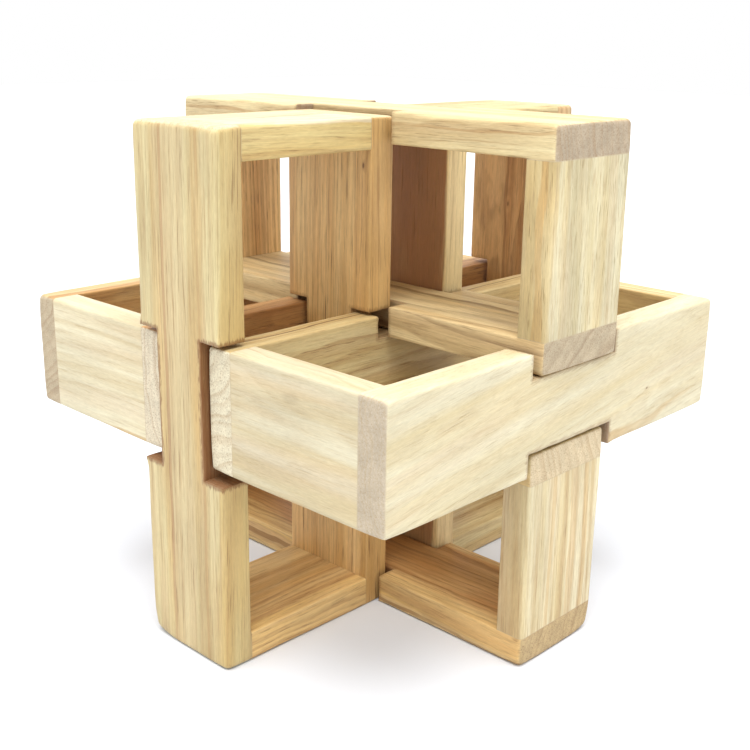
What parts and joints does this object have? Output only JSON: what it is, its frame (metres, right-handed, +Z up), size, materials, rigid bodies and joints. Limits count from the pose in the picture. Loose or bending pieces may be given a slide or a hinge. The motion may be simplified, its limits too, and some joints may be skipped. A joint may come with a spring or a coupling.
{
  "type": "wooden burr puzzle",
  "caption": "Wooden burr puzzle of interlocking rectangular open frames, glued from flat boards and notched at mid-length, that pull straight apart.",
  "frame": {"origin": "centre of the underside, on the surface that the puzzle stands on", "axes": "+Z up, along the long stiles of the upright frames; X runs through the upright pair, Y through the level pair, and the cross pair lies one above the other along Z"},
  "size_m": [0.1019, 0.1012, 0.101],
  "materials": {
    "wood_cross_bottom": "fine-sanded bare open-grained hardwood",
    "wood_upright_left": "fine-sanded bare open-grained hardwood",
    "wood_upright_right": "fine-sanded bare open-grained hardwood",
    "wood_level_front": "fine-sanded bare open-grained hardwood",
    "wood_level_back": "fine-sanded bare open-grained hardwood",
    "wood_cross_top": "fine-sanded bare open-grained hardwood"
  },
  "bodies": {
    "cross_bottom": {"cross_bottom_outer_rail": "wood_cross_bottom", "cross_bottom_inner_rail": "wood_cross_bottom", "cross_bottom_front_end": "wood_cross_bottom", "cross_bottom_back_end": "wood_cross_bottom"},
    "upright_left": {"upright_left_outer_stile": "wood_upright_left", "upright_left_inner_stile": "wood_upright_left", "upright_left_bottom_rail": "wood_upright_left", "upright_left_top_rail": "wood_upright_left"},
    "upright_right": {"upright_right_outer_stile": "wood_upright_right", "upright_right_inner_stile": "wood_upright_right", "upright_right_bottom_rail": "wood_upright_right", "upright_right_top_rail": "wood_upright_right"},
    "level_front": {"level_front_outer_rail": "wood_level_front", "level_front_inner_rail": "wood_level_front", "level_front_left_end": "wood_level_front", "level_front_right_end": "wood_level_front"},
    "level_back": {"level_back_outer_rail": "wood_level_back", "level_back_inner_rail": "wood_level_back", "level_back_left_end": "wood_level_back", "level_back_right_end": "wood_level_back"},
    "cross_top": {"cross_top_outer_rail": "wood_cross_top", "cross_top_inner_rail": "wood_cross_top", "cross_top_front_end": "wood_cross_top", "cross_top_back_end": "wood_cross_top"}
  },
  "joints": [
    {"name": "upright_left_pull", "type": "slide", "parent": "cross_bottom", "child": "upright_left", "axis": [-1, 0, 0], "range_m": [0, 0.045]},
    {"name": "upright_right_pull", "type": "slide", "parent": "cross_bottom", "child": "upright_right", "axis": [1, 0, 0], "range_m": [0, 0.045]},
    {"name": "level_front_pull", "type": "slide", "parent": "cross_bottom", "child": "level_front", "axis": [0, -1, 0], "range_m": [0, 0.045]},
    {"name": "level_back_pull", "type": "slide", "parent": "cross_bottom", "child": "level_back", "axis": [0, 1, 0], "range_m": [0, 0.045]},
    {"name": "cross_top_pull", "type": "slide", "parent": "cross_bottom", "child": "cross_top", "axis": [0, 0, 1], "range_m": [0, 0.045]}
  ]
}
